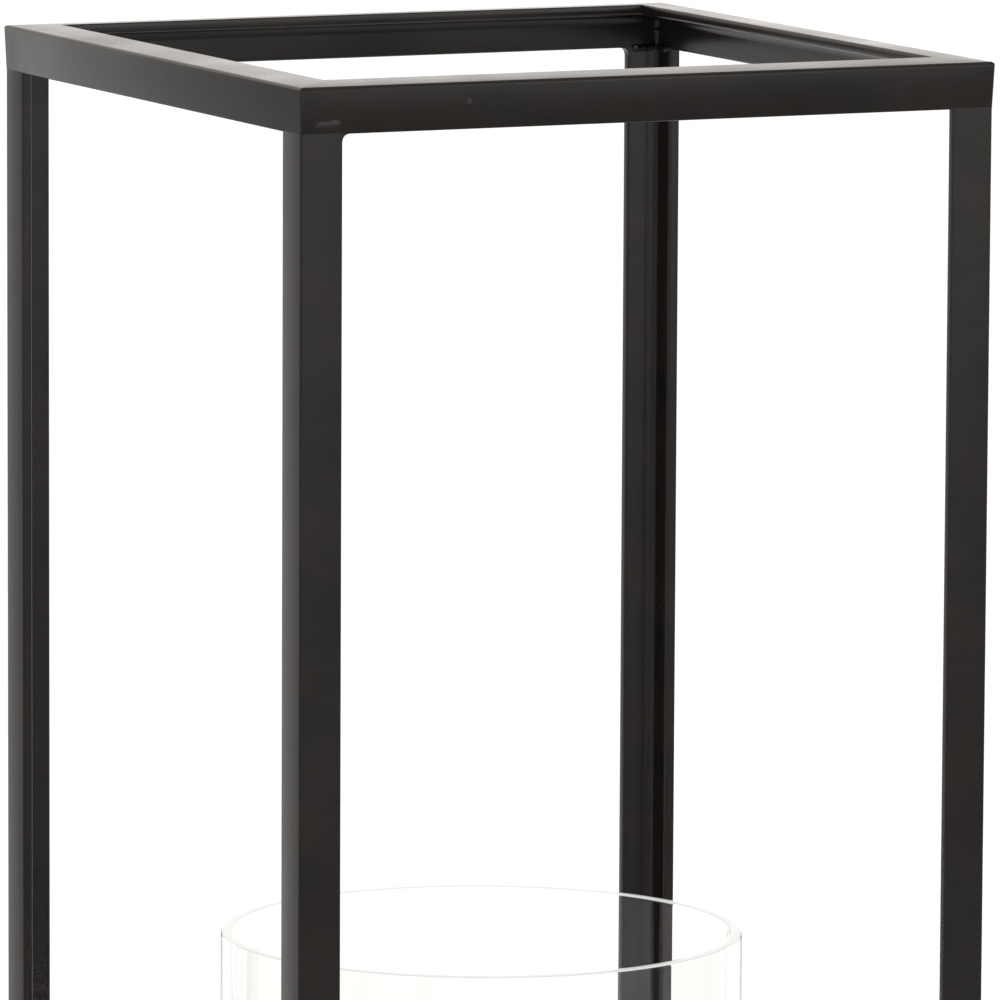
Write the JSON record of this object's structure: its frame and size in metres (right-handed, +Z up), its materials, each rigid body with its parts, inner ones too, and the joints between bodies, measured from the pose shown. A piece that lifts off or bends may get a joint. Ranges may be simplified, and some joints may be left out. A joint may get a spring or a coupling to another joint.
{
  "type": "hurricane candle lantern",
  "caption": "Tall square candle lantern: open cage of welded black angle iron round a loose clear glass cylinder with a pillar candle.",
  "frame": {"origin": "on the floor, under the middle of the square cage", "axes": "+Z up along the posts; -Y towards the front, +X to the right seen from the front"},
  "size_m": [0.216, 0.216, 0.575],
  "materials": {
    "black_iron": "satin black paint over welded and ground iron",
    "pad_felt": "dense black felt",
    "clear_glass": "clear, polished, rounded rims",
    "candle_wax": "smooth ivory wax",
    "wick_cotton": "waxed cotton braid"
  },
  "bodies": {
    "cage": {"top_rail_front": "black_iron", "top_rail_right": "black_iron", "top_rail_back": "black_iron", "top_rail_left": "black_iron", "bottom_rail_front": "black_iron", "bottom_rail_right": "black_iron", "bottom_rail_back": "black_iron", "bottom_rail_left": "black_iron", "post_front_left": "black_iron", "post_front_right": "black_iron", "post_back_right": "black_iron", "post_back_left": "black_iron", "base_plate": "black_iron", "glass_seat_ring": "black_iron", "foot_pad_front_left": "pad_felt", "foot_pad_front_right": "pad_felt", "foot_pad_back_right": "pad_felt", "foot_pad_back_left": "pad_felt"},
    "glass": {"glass_cylinder": "clear_glass"},
    "candle_tray": {"candle_dish": "black_iron", "candle_spike": "black_iron"},
    "candle": {"pillar_candle": "candle_wax", "wick": "wick_cotton"}
  },
  "joints": [
    {"name": "glass_lift", "type": "slide", "parent": "cage", "child": "glass", "axis": [0, 0, 1], "range_m": [0, 0.58]},
    {"name": "tray_lift", "type": "slide", "parent": "cage", "child": "candle_tray", "axis": [0, 0, 1], "range_m": [0, 0.58]},
    {"name": "candle_lift", "type": "slide", "parent": "candle_tray", "child": "candle", "axis": [0, 0, 1], "range_m": [0, 0.58]}
  ]
}
